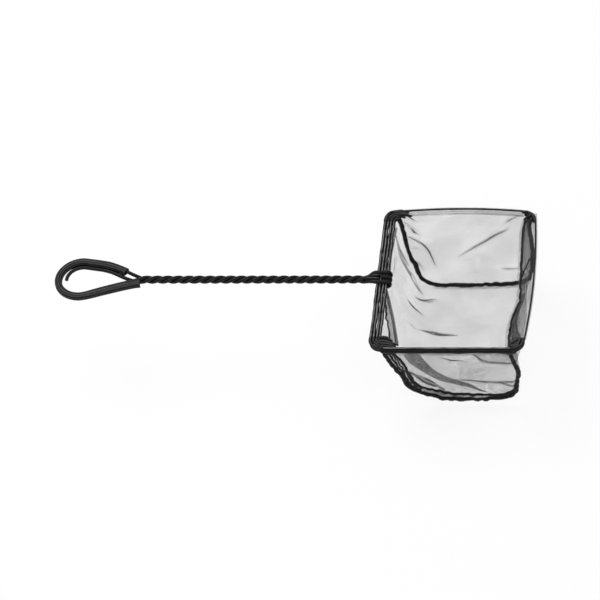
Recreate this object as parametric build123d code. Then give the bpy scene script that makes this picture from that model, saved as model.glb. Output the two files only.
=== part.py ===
"""Aquarium fish net: a three-strand twisted wire handle with a hanging loop, and a mesh bag on a wire rim.

Millimetres. The origin is the hanging point, inside the tip of the loop. +X runs along the handle
towards the bag, +Y towards the far side of the rim and +Z out of the mouth of the bag.
"""
import math
import os

from build123d import *

# Coated handle wire and its left-hand twist
strand_count = 3
wire_diameter = 3.1
strand_gap = 0.3
lay_length = 27.0
stem_turns = 7

# Hanging loop, seen from above
loop_length = 67.3
loop_radius = 19.1
loop_centre_y = -0.2
lower_shoulder_back = 10.3
lower_shoulder_y = -6.8
upper_elbow_x = 40.0
upper_elbow_y = 14.5
upper_elbow_radius = 45.0
throat_run = 5.0
throat_radius = 6.0

# Grip sleeve over the loop, and the tail of the third strand beside it
sleeve_width = 8.2
sleeve_thickness = 5.0
sleeve_wall = 0.55
sleeve_lower_back = 1.8
sleeve_upper_back = 14.3
sleeve_lower_slope = 0.25
wire_clearance = 0.25
tail_gap = 0.35
tail_height = 0.7
tail_run = 16.0
tail_end_angle = 183

# Rim wire, centre line to centre line
rim_wire_diameter = 1.5
rim_along = 126.0
rim_across = 150.0
rim_corner = 9.0
far_bow = 4.2
end_bow = 4.0
neck_length = 11.6

# Hems that hold the rim wire
hem_clearance = 0.15
hem_wall = 0.45
hem_depth = 9.0
hem_thickness = 1.0
hem_stop = 2.2
roll_diameter = 2.9
handle_roll_count = 4
handle_roll_pitch = 2.35
near_roll_count = 2
near_roll_pitch = 2.5

# Neck, where the strands hook round the rolled hem
neck_split = 0.3
neck_slit_width = 17.0
neck_slit_depth = 7.0
hook_spread = 5.2
hook_gap = 0.25
hook_tail = 4.5
hook_bend_share = 0.95
neck_run = 4.0
neck_lead = 3.4
neck_radius = 5.0

# Net bag
net_thickness = 0.8
seat_gap = 0.2
bag_depth = 78.0
bag_corner_depth = 69.5
far_drop = 3.0
handle_wall_inset = 7.0
handle_foot_inset = 27.5
far_foot_shift = 7.0
end_wall_inset = 6.0
end_foot_inset = 7.0
handle_foot_radius = 14.0
end_foot_radius = 10.0
panel_lean_angle = 7.0

# Slack of the gusset between the two seams, from the near one to the far one
gusset_sags = (0, 2.6, -1.2, 2.2, 0)

# Seam bindings and the corner tacks above them
binding_wall = 1.2
binding_width = 2.6
binding_gap = 0.1
tack_diameter = 5.0
gather_top_diameter = 3.4
gather_foot_diameter = 2.2
gather_drop = 0.425

# Places that follow from the sizes above
wire_radius = wire_diameter / 2
strand_step = 360 / strand_count
strand_angles = {"one": 90, "two": 90 - strand_step, "three": 90 + strand_step}
twist_radius = (wire_diameter + strand_gap) / (2 * math.sin(math.radians(strand_step / 2)))
twist_slope = 2 * math.pi * twist_radius / lay_length
throat_x = loop_length
neck_x = throat_x + lay_length * stem_turns
rim_handle_x = neck_x + neck_length
rim_centre_x = rim_handle_x + rim_along / 2
rim_end_x = rim_handle_x + rim_along
rim_half_y = rim_across / 2
loop_centre_x = loop_radius - sleeve_width / 2
roll_radius = roll_diameter / 2
rim_hole_radius = rim_wire_diameter / 2 + hem_clearance
band_inner_x = rim_handle_x + (handle_roll_count - 1) * handle_roll_pitch + roll_radius
reach = 4 * (rim_along + rim_across)


def turned(direction, degrees):
    """Turn a flat direction about the vertical."""
    angle = math.radians(degrees)
    along = direction.X * math.cos(angle) - direction.Y * math.sin(angle)
    across = direction.X * math.sin(angle) + direction.Y * math.cos(angle)
    return Vector(along, across, 0)


def helix_point(start_angle, turns):
    """Centre of a strand after some turns of the twist."""
    angle = math.radians(start_angle) - 2 * math.pi * turns
    along = throat_x + turns * lay_length
    return Vector(along, twist_radius * math.cos(angle), twist_radius * math.sin(angle))


def helix_way(start_angle, turns):
    """Direction of a strand after some turns of the twist."""
    angle = math.radians(start_angle) - 2 * math.pi * turns
    return Vector(1, twist_slope * math.sin(angle), -twist_slope * math.cos(angle)).normalized()


def biarc(start, start_way, end, end_way):
    """Two tangent arcs from one point and direction to another."""
    chord = end - start
    along = chord.dot(start_way + end_way)
    spread = 2 * (1 - start_way.dot(end_way))
    run = (math.sqrt(along**2 + spread * chord.dot(chord)) - along) / spread
    joint = (start + start_way * run + end - end_way * run) * 0.5
    first = TangentArc(start, joint, tangent=start_way)
    second = TangentArc(joint, end, tangent=first % 1)
    return [first, second]


def helix_arcs(start_angle):
    """A strand's twist, two arcs to each quarter turn."""
    arcs = []
    for quarter in range(4 * stem_turns):
        here = quarter / 4
        there = (quarter + 1) / 4
        arcs += biarc(
            helix_point(start_angle, here),
            helix_way(start_angle, here),
            helix_point(start_angle, there),
            helix_way(start_angle, there),
        )
    return arcs


def bent_run(points, radii):
    """Straight runs with a round bend at each inner point."""
    return FilletPolyline(*points, radius=radii).edges()


def tangent_point(away, centre, radius, side):
    """Where a line from a point away touches a circle, on the side given by +1 or -1."""
    gap = centre - away
    swing = math.degrees(math.asin(radius / gap.length))
    run = math.sqrt(gap.length**2 - radius**2)
    return away + turned(gap, side * swing).normalized() * run


def rod(edges, radius):
    """A round wire along tangent edges."""
    path = Wire(edges)
    start = Plane(origin=path @ 0, z_dir=path % 0)
    return sweep(start * Circle(radius), path=path)


def flat_tube(edges, width, thickness):
    """An oval bar along edges in a level plane, its width level."""
    path = Wire(edges)
    start = Plane(origin=path @ 0, x_dir=(0, 0, 1), z_dir=path % 0)
    oval = SlotOverall(width, thickness, rotation=90)
    return sweep(start * oval, path=path)


def make_strand(name):
    """One twisted strand, with the hook that grips the rolled hem at the neck."""
    angle = strand_angles[name]
    side = {"one": 1, "two": -1, "three": 1}[name]
    across = {"one": hook_spread, "two": 0, "three": -hook_spread}[name]
    bend = roll_radius + hook_gap + wire_radius
    leave = helix_point(angle, stem_turns)
    lead = leave + helix_way(angle, stem_turns) * neck_run
    hook_x = band_inner_x + hook_gap + wire_radius
    hook = [
        leave,
        lead,
        Vector(rim_handle_x - neck_lead, across, side * bend),
        Vector(hook_x, across, side * bend),
        Vector(hook_x, across, -side * bend),
        Vector(hook_x - bend - hook_tail, across, -side * bend),
    ]
    hook_bend = hook_bend_share * bend
    neck_edges = bent_run(hook, [neck_radius, neck_radius, hook_bend, hook_bend])
    return rod(helix_arcs(angle) + neck_edges, wire_radius)


def loop_guide():
    """Points that the loop's wire, its sleeve and the tail beside it share, level but for the last two."""
    centre = Vector(loop_centre_x, loop_centre_y)
    shoulder = Vector(throat_x - lower_shoulder_back, lower_shoulder_y)
    elbow = Vector(upper_elbow_x, upper_elbow_y)
    second = helix_point(strand_angles["two"], 0)
    second_way = helix_way(strand_angles["two"], 0)
    second_lead = second - second_way * ((second.Z - twist_radius) / second_way.Z)
    return {
        "centre": centre,
        "shoulder": shoulder,
        "elbow": elbow,
        "low": tangent_point(shoulder, centre, loop_radius, 1),
        "tip": centre - Vector(loop_radius, 0),
        "high": tangent_point(elbow, centre, loop_radius, -1),
        "fall": Vector(second_lead.X - elbow.X, second_lead.Y - elbow.Y).normalized(),
        "second_lead": second_lead,
        "second": second,
    }


def bow_edges():
    """The loop from the first strand round the tip to the second."""
    guide = loop_guide()
    level = Vector(0, 0, twist_radius)
    low = guide["low"] + level
    high = guide["high"] + level
    first = helix_point(strand_angles["one"], 0)
    first_lead = first - helix_way(strand_angles["one"], 0) * throat_run
    lower_points = [first, first_lead, guide["shoulder"] + level, low]
    lower = bent_run(lower_points, [throat_radius, throat_radius])
    upper_points = [high, guide["elbow"] + level, guide["second_lead"], guide["second"]]
    upper = bent_run(upper_points, [upper_elbow_radius, throat_radius])
    return lower + [ThreePointArc(low, guide["tip"] + level, high)] + upper


def sleeve_edges():
    """The grip sleeve's own centre line, straight past the shoulder of the lower arm."""
    guide = loop_guide()
    level = Vector(0, 0, twist_radius)
    low = guide["low"] + level
    high = guide["high"] + level
    shoulder = guide["shoulder"] + level
    elbow = guide["elbow"] + level
    lower_run = throat_x - sleeve_lower_back - shoulder.X
    upper_run = throat_x - sleeve_upper_back - elbow.X
    mouth = shoulder + Vector(1, sleeve_lower_slope) * lower_run
    upper_end = elbow + guide["fall"] * (upper_run / guide["fall"].X)
    lower = bent_run([mouth, shoulder, low], [loop_radius])
    upper = bent_run([high, elbow, upper_end], [upper_elbow_radius])
    return lower + [ThreePointArc(low, guide["tip"] + level, high)] + upper


def tail_edges():
    """The third strand's tail, inside the sleeve's curve from the throat round to the tip."""
    guide = loop_guide()
    centre = guide["centre"]
    level = Vector(0, 0, tail_height)
    inset = sleeve_width / 2 + tail_gap + wire_radius
    radius = loop_radius - inset
    third = helix_point(strand_angles["three"], 0)
    third_lead = third - helix_way(strand_angles["three"], 0) * throat_run
    inner_elbow = guide["elbow"] + turned(guide["fall"], -90) * inset
    inner_run = inner_elbow + guide["fall"] * tail_run
    touch = tangent_point(inner_elbow, centre, radius, -1)
    start_angle = math.degrees(math.atan2(touch.Y - centre.Y, touch.X - centre.X))
    middle = centre + turned(Vector(radius, 0), (start_angle + tail_end_angle) / 2)
    end = centre + turned(Vector(radius, 0), tail_end_angle)
    points = [third, third_lead, inner_run + level, inner_elbow + level, touch + level]
    arm = bent_run(points, [throat_radius, loop_radius, upper_elbow_radius])
    return arm + [ThreePointArc(touch + level, middle + level, end + level)]


def make_grip_sleeve():
    """A flattened vinyl tube, open where the wire leaves it towards the throat."""
    edges = sleeve_edges()
    bore_width = sleeve_width - 2 * sleeve_wall
    bore_thickness = sleeve_thickness - 2 * sleeve_wall
    outer = flat_tube(edges, sleeve_width, sleeve_thickness)
    bore = flat_tube(edges, bore_width, bore_thickness)
    return outer - bore - rod(bow_edges(), wire_radius + wire_clearance)


def rim_outline():
    """Plan of the rim's centre line: two straight sides, two bowed ones and round corners."""
    near_y = -rim_half_y
    far_y = rim_half_y
    sides = [
        Line((rim_handle_x, near_y), (rim_end_x, near_y)),
        ThreePointArc((rim_end_x, near_y), (rim_end_x + end_bow, 0), (rim_end_x, far_y)),
        ThreePointArc((rim_end_x, far_y), (rim_centre_x, far_y + far_bow), (rim_handle_x, far_y)),
        Line((rim_handle_x, far_y), (rim_handle_x, near_y)),
    ]
    plan = make_face(sides)
    return fillet(plan.vertices(), rim_corner)


def bow_at(half_span, bow, offset):
    """How far a bowed side stands out of its chord, at an offset from its middle."""
    radius = (half_span**2 + bow**2) / (2 * bow)
    return math.sqrt(radius**2 - offset**2) - (radius - bow)


def flat_hem(half_span, bow, foot_inset):
    """A flat hem on a bowed side: a sleeve round the wire and a band down to the straight net edge."""
    half_length = half_span - rim_corner - hem_stop
    end_out = bow_at(half_span, bow, half_length)
    ends = [(-half_length, end_out), (half_length, end_out)]
    path = ThreePointArc(ends[0], (0, bow), ends[1])
    start = Plane(origin=path @ 0, z_dir=path % 0)
    ring = Circle(rim_hole_radius + hem_wall) - Circle(rim_hole_radius)
    sleeve = sweep(start * ring, path=path)
    half = hem_thickness / 2
    top = make_face([
        ThreePointArc((-half_length, end_out + half), (0, bow + half), (half_length, end_out + half)),
        Line((half_length, end_out + half), (half_length, end_out - half)),
        ThreePointArc((half_length, end_out - half), (0, bow - half), (-half_length, end_out - half)),
        Line((-half_length, end_out - half), (-half_length, end_out + half)),
    ])
    foot = Pos(0, -foot_inset) * Rectangle(2 * half_length, hem_thickness)
    top_z = -rim_hole_radius - hem_wall / 2
    band = loft([Pos(0, 0, top_z) * top, Pos(0, 0, -hem_depth) * foot], ruled=True)
    return sleeve + band


def rolled_section(count, step):
    """Rolls side by side, with a hole for the rim wire in the first."""
    rolls = Circle(roll_radius)
    for index in range(1, count):
        rolls += Pos(step[0] * index, step[1] * index) * Circle(roll_radius)
    return rolls - Circle(rim_hole_radius)


def make_handle_hem(side):
    """The rolled hem on the handle side of the rim, from the neck to a corner."""
    start = neck_split / 2
    length = rim_half_y - rim_corner - hem_stop - start
    section = rolled_section(handle_roll_count, (handle_roll_pitch, 0))
    plane = Plane(origin=(rim_handle_x, side * start, 0), x_dir=(1, 0, 0), z_dir=(0, side, 0))
    return extrude(plane * section, length)


def make_near_hem():
    """The rolled hem on the near side of the rim, its second roll under the wire."""
    length = rim_along - 2 * (rim_corner + hem_stop)
    section = rolled_section(near_roll_count, (0, -near_roll_pitch))
    start = (rim_handle_x + rim_corner + hem_stop, -rim_half_y, 0)
    plane = Plane(origin=start, x_dir=(0, 1, 0), z_dir=(1, 0, 0))
    return extrude(plane * section, length)


def panel_y(inset, z):
    """Half width of the bag at a height, some way inside the outer face of its side panels."""
    lean = math.radians(panel_lean_angle)
    return rim_half_y - inset / math.cos(lean) + z * math.tan(lean)


def wall_slab(side, outer, inner, top):
    """The leaning layer between two insets from a side panel's outer face."""
    foot = -2 * bag_depth
    corners = [
        (side * panel_y(outer, top), top),
        (side * panel_y(outer, foot), foot),
        (side * panel_y(inner, foot), foot),
        (side * panel_y(inner, top), top),
    ]
    section = make_face(Polyline(*corners, close=True))
    return extrude(Plane.YZ * section, reach)


def seam_feet(share):
    """Depth of the seam's corners and inset of its handle foot, from the near side (0) to the far one (1)."""
    return bag_corner_depth + far_drop * share, handle_foot_inset - far_foot_shift * share


def seam_line(share, sag=0):
    """The bag's outline at a share of the way across, with its walls carried up past the rim."""
    above = bag_depth
    corner_depth, foot_inset = seam_feet(share)
    corner_depth += sag
    foot_inset -= sag
    handle_run = (foot_inset - handle_wall_inset) / corner_depth
    end_run = (end_foot_inset - end_wall_inset) / corner_depth
    handle_foot = (rim_handle_x + foot_inset, -corner_depth)
    end_foot = (rim_end_x - end_foot_inset, -corner_depth)
    handle_top = (rim_handle_x + handle_wall_inset - handle_run * above, above)
    end_top = (rim_end_x - end_wall_inset + end_run * above, above)
    lowest = ((handle_foot[0] + end_foot[0]) / 2, -bag_depth - far_drop * share - sag)
    outline = make_face([
        Line(handle_top, handle_foot),
        ThreePointArc(handle_foot, lowest, end_foot),
        Line(end_foot, end_top),
        Line(end_top, handle_top),
    ])
    feet = outline.vertices().sort_by(Axis.Y)[:2].sort_by(Axis.X)
    outline = fillet(feet[0], handle_foot_radius)
    end_corner = min(outline.vertices(), key=lambda point: math.dist((point.X, point.Y), end_foot))
    return fillet(end_corner, end_foot_radius)


def seam_prism(outline, outset):
    """The seam outline grown by an outset and carried across the bag."""
    grown = offset(outline, amount=outset) if outset else outline
    return extrude(Plane.XZ * grown, reach, both=True)


def seam_wall(outline, inner, outer):
    """The layer between two outsets from the seam outline, carried across the bag."""
    return seam_prism(outline, outer) - seam_prism(outline, inner)


def make_panel(outline, side, top):
    """One side panel of the bag, flat and leaning inwards."""
    return seam_prism(outline, 0) & wall_slab(side, 0, net_thickness, top)


def slack_body(half_width, outset):
    """The bag between its seams, its outline sagging more and less on the way across."""
    steps = len(gusset_sags) - 1
    sections = []
    for index, sag in enumerate(gusset_sags):
        share = index / steps
        outline = seam_line(share, sag)
        grown = offset(outline, amount=outset) if outset else outline
        sections.append(Pos(0, half_width * (2 * share - 1), 0) * (Plane.XZ * grown))
    return loft(sections)


def make_gusset(outlines):
    """The strip that makes the bag's handle wall, floor and end wall, slack between the seams."""
    inset = net_thickness + seat_gap
    slack_half = panel_y(binding_width + net_thickness, -bag_depth - far_drop)
    strip = slack_body(slack_half, 0) - slack_body(slack_half, -net_thickness)
    for side, outline in outlines.items():
        ahead = Align.MIN if side > 0 else Align.MAX
        beyond = Box(reach, reach, reach, align=(Align.CENTER, ahead, Align.CENTER))
        strip += seam_wall(outline, -net_thickness, 0) & (Pos(0, side * slack_half, 0) * beyond)
    between = make_face(Polyline(
        (panel_y(inset, 0), 0),
        (panel_y(inset, -2 * bag_depth), -2 * bag_depth),
        (-panel_y(inset, -2 * bag_depth), -2 * bag_depth),
        (-panel_y(inset, 0), 0),
        close=True,
    ))
    strip &= extrude(Plane.YZ * between, reach)
    end_cut = Box(reach, reach, reach, align=(Align.MIN, Align.CENTER, Align.MIN))
    handle_cut = Box(reach, reach, reach, align=(Align.MAX, Align.CENTER, Align.MIN))
    slit = Box(reach, neck_slit_width, reach, align=(Align.MAX, Align.CENTER, Align.MIN))
    under_tack = Box(reach, rim_corner + hem_stop, reach, align=(Align.MAX, Align.CENTER, Align.MIN))
    strip -= Pos(rim_centre_x, 0, -hem_depth - seat_gap) * end_cut
    strip -= Pos(rim_centre_x, 0, -roll_radius - seat_gap) * handle_cut
    strip -= Pos(rim_centre_x, 0, -neck_slit_depth) * slit
    for side in (1, -1):
        tack_y = side * (rim_half_y - (rim_corner + hem_stop) / 2)
        strip -= Pos(rim_centre_x, tack_y, -tack_diameter / 2 - seat_gap) * under_tack
    return strip


def make_binding(outline, side):
    """The bound seam round one side panel, an angle strip over the panel's and the gusset's edges."""
    top = -hem_depth - seat_gap
    over_panel = seam_wall(outline, -binding_width, binding_wall)
    over_panel &= wall_slab(side, -binding_wall, -binding_gap, top)
    over_gusset = seam_wall(outline, binding_gap, binding_wall)
    over_gusset &= wall_slab(side, -binding_wall, binding_width, top)
    return over_panel + over_gusset


def make_corner_tack(corner, side, end):
    """Gathered net sewn round a corner of the rim, running down to the top of a seam binding."""
    start = Plane(origin=corner @ 0, z_dir=corner % 0)
    ring = Circle(tack_diameter / 2) - Circle(rim_hole_radius)
    wrap = sweep(start * ring, path=Wire([corner]))
    middle = corner @ 0.5
    corner_depth, foot_inset = seam_feet((side + 1) / 2)
    wall_run = (foot_inset - handle_wall_inset) / corner_depth
    handle_top = rim_handle_x + handle_wall_inset + wall_run * hem_depth
    end_run = (end_foot_inset - end_wall_inset) / corner_depth
    end_top = rim_end_x - end_wall_inset - end_run * hem_depth
    foot_radius = gather_foot_diameter / 2
    foot_x = end_top + foot_radius if end else handle_top - foot_radius
    foot_y = side * panel_y(-foot_radius - binding_gap, -hem_depth)
    top_z = -rim_hole_radius - gather_drop
    top = Pos(middle.X, middle.Y, top_z) * Circle(gather_top_diameter / 2)
    foot = Pos(foot_x, foot_y, -hem_depth) * Circle(foot_radius)
    return wrap + loft([top, foot], ruled=True)


def make_pieces():
    """Every piece of the net, by name."""
    plan = rim_outline()
    outlines = {-1: seam_line(0), 1: seam_line(1)}
    quarter = math.pi * rim_corner / 2
    corners = plan.edges().filter_by(lambda edge: abs(edge.length - quarter) < rim_corner / 2)
    far_place = Pos(rim_centre_x, rim_half_y, 0)
    end_place = Pos(rim_end_x, 0, 0) * Rot(0, 0, -90)
    far_foot = rim_half_y - panel_y(hem_thickness / 2, -hem_depth)
    end_run = (end_foot_inset - end_wall_inset) / bag_corner_depth
    end_foot = end_wall_inset + end_run * hem_depth + net_thickness / 2
    near_top = -(near_roll_count - 1) * near_roll_pitch - roll_radius - seat_gap
    pieces = {
        "rim_wire": rod(plan.wire().edges(), rim_wire_diameter / 2),
        "loop_bow": rod(bow_edges(), wire_radius),
        "loop_tail": rod(tail_edges(), wire_radius),
        "grip_sleeve": make_grip_sleeve(),
        "far_hem": far_place * flat_hem(rim_along / 2, far_bow, far_foot),
        "end_hem": end_place * flat_hem(rim_across / 2, end_bow, end_foot),
        "near_hem": make_near_hem(),
        "handle_hem_far_half": make_handle_hem(1),
        "handle_hem_near_half": make_handle_hem(-1),
        "far_panel": make_panel(outlines[1], 1, -hem_depth - seat_gap),
        "near_panel": make_panel(outlines[-1], -1, near_top),
        "gusset": make_gusset(outlines),
        "far_seam_binding": make_binding(outlines[1], 1),
        "near_seam_binding": make_binding(outlines[-1], -1),
    }
    for name in strand_angles:
        pieces[f"strand_{name}"] = make_strand(name)
    for corner in corners:
        middle = corner @ 0.5
        side = 1 if middle.Y > 0 else -1
        end = middle.X > rim_centre_x
        name = f"{'end' if end else 'handle'}_{'far' if side > 0 else 'near'}_corner_tack"
        pieces[name] = make_corner_tack(corner, side, end)
    return pieces


os.makedirs("parts", exist_ok=True)
for node, piece in make_pieces().items():
    export_step(piece, f"parts/{node}.step")
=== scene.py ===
"""Aquarium fish net: coated wire handle, rolled hems and a bag of fine net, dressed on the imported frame."""
import math

import bpy
import numpy as np
from mathutils import Matrix, Vector, noise


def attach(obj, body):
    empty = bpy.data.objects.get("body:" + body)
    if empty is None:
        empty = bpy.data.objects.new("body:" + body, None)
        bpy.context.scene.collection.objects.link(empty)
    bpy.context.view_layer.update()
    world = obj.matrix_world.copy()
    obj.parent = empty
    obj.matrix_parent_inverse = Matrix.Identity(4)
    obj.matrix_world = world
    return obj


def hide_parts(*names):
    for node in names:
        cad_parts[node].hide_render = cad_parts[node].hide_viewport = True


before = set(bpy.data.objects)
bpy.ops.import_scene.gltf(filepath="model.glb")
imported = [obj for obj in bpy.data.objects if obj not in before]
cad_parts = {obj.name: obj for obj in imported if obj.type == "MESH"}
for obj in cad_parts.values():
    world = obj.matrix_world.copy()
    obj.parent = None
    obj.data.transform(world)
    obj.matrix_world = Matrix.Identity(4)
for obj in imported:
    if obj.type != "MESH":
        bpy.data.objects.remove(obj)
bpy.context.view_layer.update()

# Rim of the frame, in millimetres; places near it are counted from its middle
MM = 0.001
RIM_CENTRE_X = 330.9
RIM_HALF_ALONG = 63.0
RIM_HALF_ACROSS = 75.0
RIM_CORNER = 9.0
FAR_BOW = 4.2
END_BOW = 4.0
PANEL_LEAN = 0.1234
UP = np.array((0.0, 0.0, 1.0))

# Flat hems
HEM_LOOP_RADIUS = 1.25
HEM_SPREAD = 0.3
FAR_HEM_ENDS = (-51, 53)
FAR_HEM_INSET = 1.2
FAR_HEM_DEPTH = 5.4

# Rolled hems; the near rolls and the edge below them as a place across the rim and a height
HANDLE_ROLL_RADIUS = 1.32
HANDLE_ROLL_PITCH = 2.55
HANDLE_ROLLS = 4
HANDLE_ROLL_OUT = 0.35
NEAR_ROLL_RADIUS = 1.5
NEAR_ROLLS = ((-75.6, -0.4), (-76.0, -3.2))
NEAR_EDGE = (-75.6, -4)
NECK_GAP = 0.1
ROLL_STOP = 63.8
ROLL_STEP = 0.8

# Slack of the gusset, as in the solids, from the near seam to the far one
GUSSET_SAGS = (0, 2.6, -1.2, 2.2, 0)
SLACK_HALF = 61.6
FOOT_DEPTH = 70.0

# Net: its threads, and how finely its sheets are divided
NET_THICKNESS = 0.22
NET_PITCH = 0.9
NET_THREAD = 0.157
ROLLED_PITCH = 0.6
UV_SPAN = 300.0
SEAM_PLACES = 700
PANEL_GRID = (190, 120)
GUSSET_GRID = (270, 150)
STRIP_COLUMNS = 9
MERGE_DISTANCE = 1e-7

# Folds of the net: softness of the edges, how far the cloth slides and lifts, and how dark it bunches
FOLD_PLACES = 48
FOLD_EDGE = 0.45
FOLD_EDGE_SHARE = 0.5
FOLD_SLIDE = 1.65
FOLD_LIFT = 0.35
FOLD_LIFT_SHARE = 0.07
FOLD_BUNCH = 0.5
NARROW_BUNCH = 2.2
NARROW_WIDTH = 0.9
FAINT_WIDTH = 0.8
FADE_WIDTH = 0.12
FOLD_ENDS = 1.5
LIFT_SLOPE = 1.6
LIFT_REACH = 3.5
BUNCH_REACH = 1.2

# Overlocked seams: spacing of their places, their waver and their lumps
ROPE_STEP = 0.5
ROPE_WAVER = 1.1
ROPE_WAVER_REACH = 4.5
ROPE_LUMPS = 0.34
ROPE_SWELL = 0.16

# Corner tacks
TACK_PLACES = 22
TACK_ROLL_RADIUS = 1.4
TACK_LEAST_TURN = 1.6
TACK_LEAD = 1.6
TACK_TOP = 6.2
TACK_DROP = 0.25
TACK_UNDER_LEVEL = -2.6
TACK_UNDER_RADIUS = 1.5
TACK_GATHER_RADIUS = 2.6
TACK_GATHER_TAPER = 1.3
FINGER_RADIUS = 1.7

# Grip sleeve on the loop, counted from the frame's origin. A section is its share of the run, its width
# across the loop and how far it sits inside the wire's line
SLEEVE_SECTIONS = [
    (0, 8.2, -0.3), (0.2, 8.2, -0.4), (0.35, 7.2, -1.1), (0.48, 6.1, -1.1),
    (0.58, 6.4, -0.1), (0.7, 7.0, 0.8), (0.85, 7.2, 0.8), (1, 6.8, 0.6),
]
SLEEVE_THICKNESS = 5.0
SLEEVE_WALL = 0.55
SLEEVE_SIDES = 144
SLEEVE_RIDGES = 10
SLEEVE_RIDGE_HEIGHT = 0.045
SLEEVE_DENTS = 0.02
SLEEVE_FLARE = 0.22
SLEEVE_PINCH = 0.1
SLEEVE_SQUARENESS = 0.75
LOOP_CENTRE = (15.0, -0.2)
LOOP_RADIUS = 19.1
LOOP_LEVEL = 1.963

# Camera and stage
CAMERA_DISTANCE = 3400.0
FIELD_WIDTH = 499.2
SENSOR_WIDTH = 36.0
FRAME_SHIFT_ALONG = -127.6
FRAME_SHIFT_UP = -17.1
CAMERA_RIGHT = Vector((0.9866, 0.107, -0.1232)).normalized()
CAMERA_UP = Vector((0.0, 0.755, 0.6557)).normalized()
FLOOR_LEVEL = -82.5
FLOOR_GLOW = 1.03
FLOOR_GLOW_SHARE = 0.82
ROOM_LIGHT = 0.55
LAMP_AIM = (-110, 0, -20)


def at(x, y, z):
    """A place near the rim, in metres."""
    return Vector(((RIM_CENTRE_X + x) * MM, y * MM, z * MM))


# Modelling helpers

def deselect():
    """Leaves object mode with nothing selected."""
    if bpy.context.object and bpy.context.object.mode != "OBJECT":
        bpy.ops.object.mode_set(mode="OBJECT")
    bpy.ops.object.select_all(action="DESELECT")


def pick(*pieces):
    """Selects some pieces, the first one active."""
    deselect()
    for piece in pieces:
        piece.select_set(True)
    bpy.context.view_layer.objects.active = pieces[0]


def apply_modifier(piece, kind, **settings):
    """Adds a modifier to a piece and applies it."""
    pick(piece)
    step = piece.modifiers.new(kind, kind)
    for name, value in settings.items():
        setattr(step, name, value)
    bpy.ops.object.modifier_apply(modifier=step.name)


def smooth(piece):
    """Shades a piece smooth."""
    pick(piece)
    bpy.ops.object.shade_smooth()
    return piece


def joined(name, pieces):
    """Joins pieces into one."""
    pick(*pieces)
    if len(pieces) > 1:
        bpy.ops.object.join()
    piece = bpy.context.active_object
    piece.name = piece.data.name = name
    return piece


def smooth_line(points, count):
    """Evenly spaced places on a smooth line through some points."""
    points = np.array(points, float)
    ends = np.vstack([2 * points[0] - points[1], points, 2 * points[-1] - points[-2]])
    steps = np.linspace(0, 1, 40, endpoint=False)[:, None]
    runs = []
    for a, b, c, d in zip(ends, ends[1:], ends[2:], ends[3:]):
        curve = 2 * b + (c - a) * steps + (2 * a - 5 * b + 4 * c - d) * steps**2
        runs.append(0.5 * (curve + (3 * b - a - 3 * c + d) * steps**3))
    fine = np.vstack(runs + [points[-1:]])
    return evened(fine, count)


def run_along(line):
    """How far along a line each of its places is."""
    return np.concatenate([[0], np.cumsum(np.linalg.norm(np.diff(line, axis=0), axis=1))])


def ways_along(line):
    """Direction of a line at each of its places."""
    ways = np.gradient(line, axis=0)
    return ways / np.linalg.norm(ways, axis=1)[:, None]


def evened(line, count):
    """The same line with evenly spaced places."""
    run = run_along(line)
    goals = np.linspace(0, run[-1], count)
    return np.stack([np.interp(goals, run, line[:, k]) for k in range(line.shape[1])], axis=1)


def line_length(line):
    """Length of a line of places."""
    return float(np.linalg.norm(np.diff(line, axis=0), axis=1).sum())


def in_metres(line):
    """Places round the rim's middle, in metres."""
    return (np.asarray(line, float) + np.array((RIM_CENTRE_X, 0, 0))) * MM


def grid_piece(name, places, flat):
    """A grid primitive with each point moved to its place, and the flat cloth as its UV map."""
    rows, columns = places.shape[:2]
    deselect()
    bpy.ops.mesh.primitive_grid_add(x_subdivisions=columns - 1, y_subdivisions=rows - 1, size=1)
    piece = bpy.context.active_object
    piece.name = piece.data.name = name
    mesh = piece.data
    start = np.empty(len(mesh.vertices) * 3)
    mesh.vertices.foreach_get("co", start)
    start = start.reshape(-1, 3)
    column = np.rint((start[:, 0] + 0.5) * (columns - 1)).astype(int)
    row = np.rint((start[:, 1] + 0.5) * (rows - 1)).astype(int)
    mesh.vertices.foreach_set("co", places[row, column].ravel())
    corner = np.empty(len(mesh.loops), dtype=np.int32)
    mesh.loops.foreach_get("vertex_index", corner)
    chart = flat[row, column][corner] / UV_SPAN
    mesh.uv_layers.active.data.foreach_set("uv", chart.ravel())
    mesh.update()
    return piece


def add_mask(piece, name, values):
    """A soft mask over a grid piece, kept as an attribute of its points."""
    mesh = piece.data
    layer = mesh.attributes.new(name, "FLOAT", "POINT")
    layer.data.foreach_set("value", np.asarray(values, float).ravel())


def unit(way):
    """A direction of length one."""
    return way / np.linalg.norm(way)


def close_seam(piece, fill_ends):
    """Merges the meeting edges of a grid that was rolled up, and turns its faces outwards."""
    pick(piece)
    bpy.ops.object.mode_set(mode="EDIT")
    bpy.ops.mesh.select_all(action="SELECT")
    bpy.ops.mesh.remove_doubles(threshold=MERGE_DISTANCE)
    if fill_ends:
        bpy.ops.mesh.fill_holes(sides=0)
    bpy.ops.mesh.normals_make_consistent(inside=False)
    bpy.ops.object.mode_set(mode="OBJECT")


def side_frames(line):
    """Two directions square to a line at each of its places, turning as little as they can."""
    ways = ways_along(line)
    steep = abs(ways[0] @ UP) > 0.9
    side = np.array((0.0, 1.0, 0.0)) if steep else UP
    first = []
    for way in ways:
        side = unit(side - way * (side @ way))
        first.append(side)
    first = np.array(first)
    return first, np.cross(ways, first)


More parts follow.
